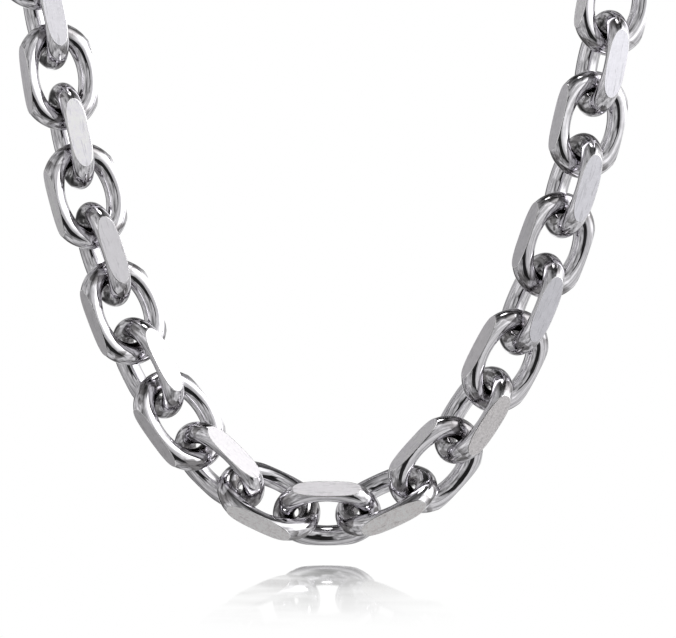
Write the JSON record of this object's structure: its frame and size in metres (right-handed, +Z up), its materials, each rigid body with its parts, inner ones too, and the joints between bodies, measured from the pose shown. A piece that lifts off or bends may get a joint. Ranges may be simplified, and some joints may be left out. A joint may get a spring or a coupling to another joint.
{
  "type": "rolo chain necklace",
  "caption": "Heavy rolo chain necklace: interlocked oval links of round polished steel wire, each milled flat on its two long sides, hanging in a U from a plain hidden clasp.",
  "frame": {"origin": "the middle of the clasp's inner face, which rests on the nape of the neck the necklace hangs from", "axes": "+Z up, -Y towards the front of the wearer, +X towards the viewer's right when the necklace is seen from the front"},
  "size_m": [0.149, 0.1263, 0.1836],
  "materials": {
    "link_steel": "mirror-polished round wire; milled flats finely brushed and lightly scratched",
    "clasp_steel": "polished, with softened edges"
  },
  "bodies": {
    "root": {"link_left_11": "link_steel", "link_left_10": "link_steel", "link_left_9": "link_steel", "link_left_8": "link_steel", "link_left_7": "link_steel", "link_left_6": "link_steel", "link_left_5": "link_steel", "link_left_4": "link_steel", "link_left_3": "link_steel", "link_left_2": "link_steel", "link_left_1": "link_steel", "link_bottom": "link_steel", "link_right_1": "link_steel", "link_right_2": "link_steel", "link_right_3": "link_steel", "link_right_4": "link_steel", "link_right_5": "link_steel", "link_right_6": "link_steel", "link_right_7": "link_steel", "link_right_8": "link_steel", "link_right_9": "link_steel", "link_right_10": "link_steel", "link_right_11": "link_steel", "back_chain_left": "link_steel", "back_chain_right": "link_steel", "clasp": "clasp_steel"}
  },
  "joints": []
}
